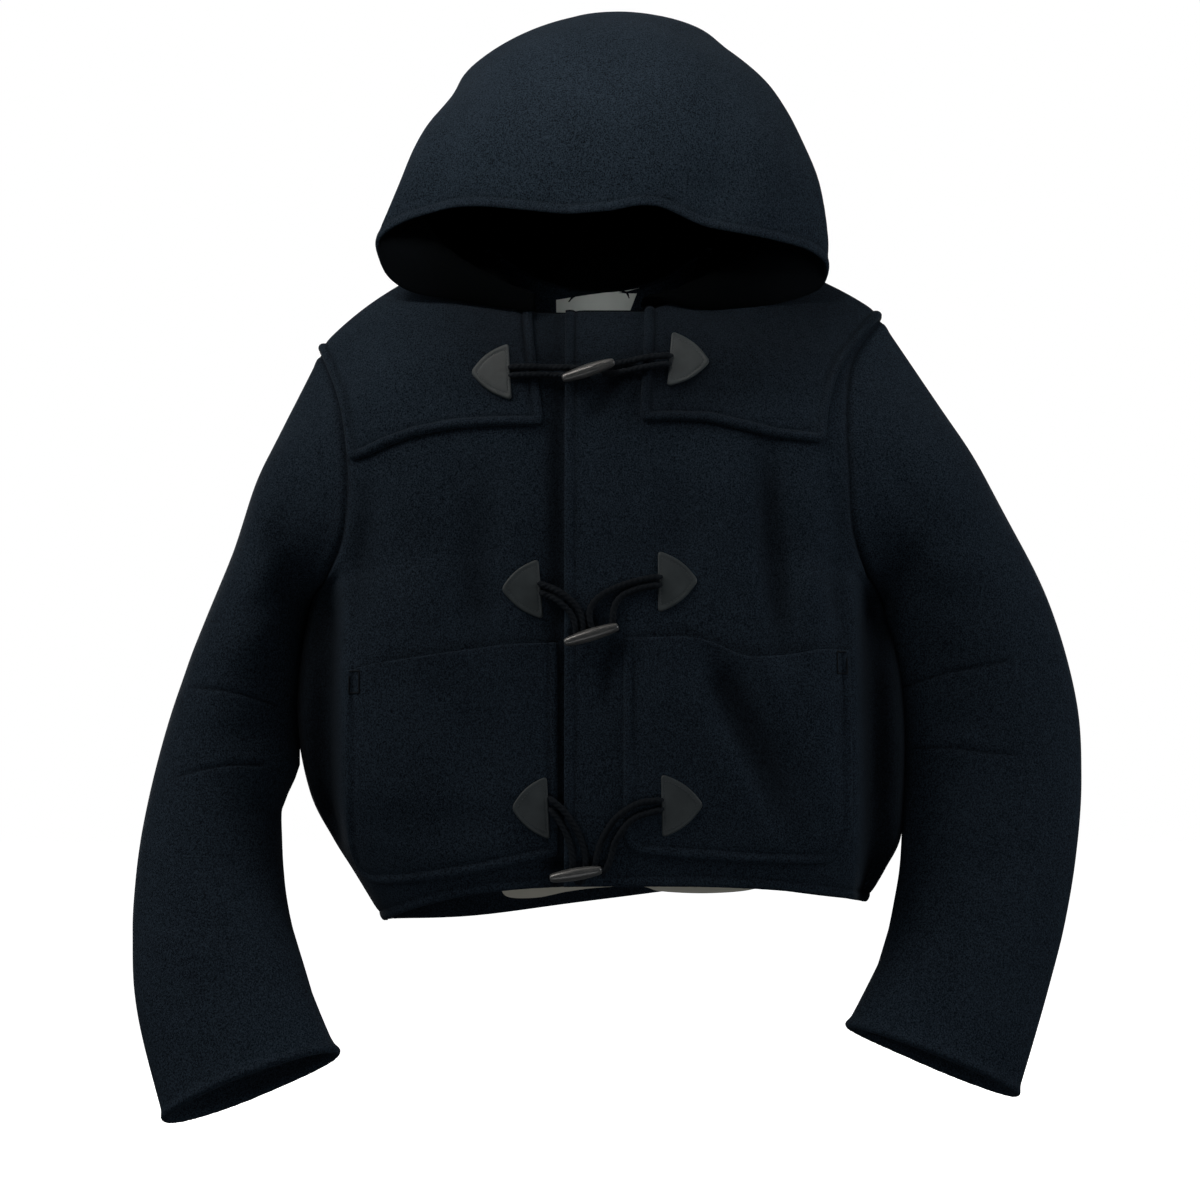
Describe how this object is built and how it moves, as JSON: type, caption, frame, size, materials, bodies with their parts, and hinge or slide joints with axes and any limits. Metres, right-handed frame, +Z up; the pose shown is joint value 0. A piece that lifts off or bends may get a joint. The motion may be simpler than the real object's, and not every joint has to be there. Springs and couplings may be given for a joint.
{
  "type": "duffle coat",
  "caption": "Cropped hooded duffle coat in navy melton, worn form with hood up, front closed by toggles and cord loops, storm yokes and patch pockets.",
  "frame": {"origin": "top of the shoulders, midway between the two side neck points, where the wearer carries the coat", "axes": "+Z up along the body, -Y is the way the coat's front faces, +X is the wearer's left"},
  "size_m": [0.8495, 0.285, 1.0169],
  "materials": {
    "melton": "matt, napped wool",
    "leather": "satin",
    "horn": "polished horn",
    "cord": "twisted, matt",
    "label": "woven, matt",
    "lining": "matt"
  },
  "bodies": {
    "root": {"back": "melton", "cord_left_1": "cord", "cord_left_2": "cord", "cord_left_3": "cord", "cord_right_1": "cord", "cord_right_2": "cord", "cord_right_3": "cord", "front_left": "melton", "front_right": "melton", "hanger_loop": "cord", "hood_left": "melton", "hood_right": "melton", "lining_strip": "lining", "neck_label": "label", "patch_left_1": "leather", "patch_left_2": "leather", "patch_left_3": "leather", "patch_right_1": "leather", "patch_right_2": "leather", "patch_right_3": "leather", "pocket_left": "melton", "pocket_right": "melton", "sleeve_left": "melton", "sleeve_right": "melton", "toggle_1": "horn", "toggle_2": "horn", "toggle_3": "horn", "yoke_back": "melton", "yoke_front_left": "melton", "yoke_front_right": "melton"}
  },
  "joints": []
}
